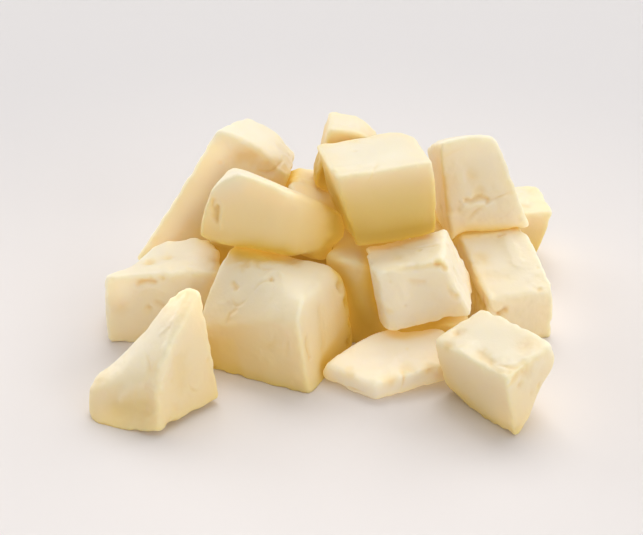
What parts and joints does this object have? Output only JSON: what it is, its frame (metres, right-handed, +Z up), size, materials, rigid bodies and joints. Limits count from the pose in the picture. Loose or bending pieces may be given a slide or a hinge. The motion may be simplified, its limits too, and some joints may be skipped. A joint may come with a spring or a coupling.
{
  "type": "cheese curds",
  "caption": "Loose heap of fresh cheese curds: pale, soft-edged blocks and wedges of milled cheese lying on and against each other.",
  "frame": {"origin": "middle of the heap's footprint box, on the surface that it lies on", "axes": "+X to the right along the heap's longest side, +Y away from its front, +Z up"},
  "size_m": [0.1212, 0.0992, 0.0496],
  "materials": {
    "curd": null
  },
  "bodies": {
    "root": {"curd_front_wedge": "curd", "curd_front_block": "curd", "curd_front_slab": "curd", "curd_front_right": "curd", "curd_left_block": "curd", "curd_right_block": "curd", "curd_under_small_cube": "curd", "curd_middle": "curd", "curd_under_bar": "curd", "curd_back_middle": "curd", "curd_back_inner": "curd", "curd_back_right": "curd", "curd_back_left": "curd", "curd_top_bar": "curd", "curd_small_cube": "curd", "curd_top_cube": "curd", "curd_right_upper": "curd", "curd_top_back": "curd"}
  },
  "joints": []
}
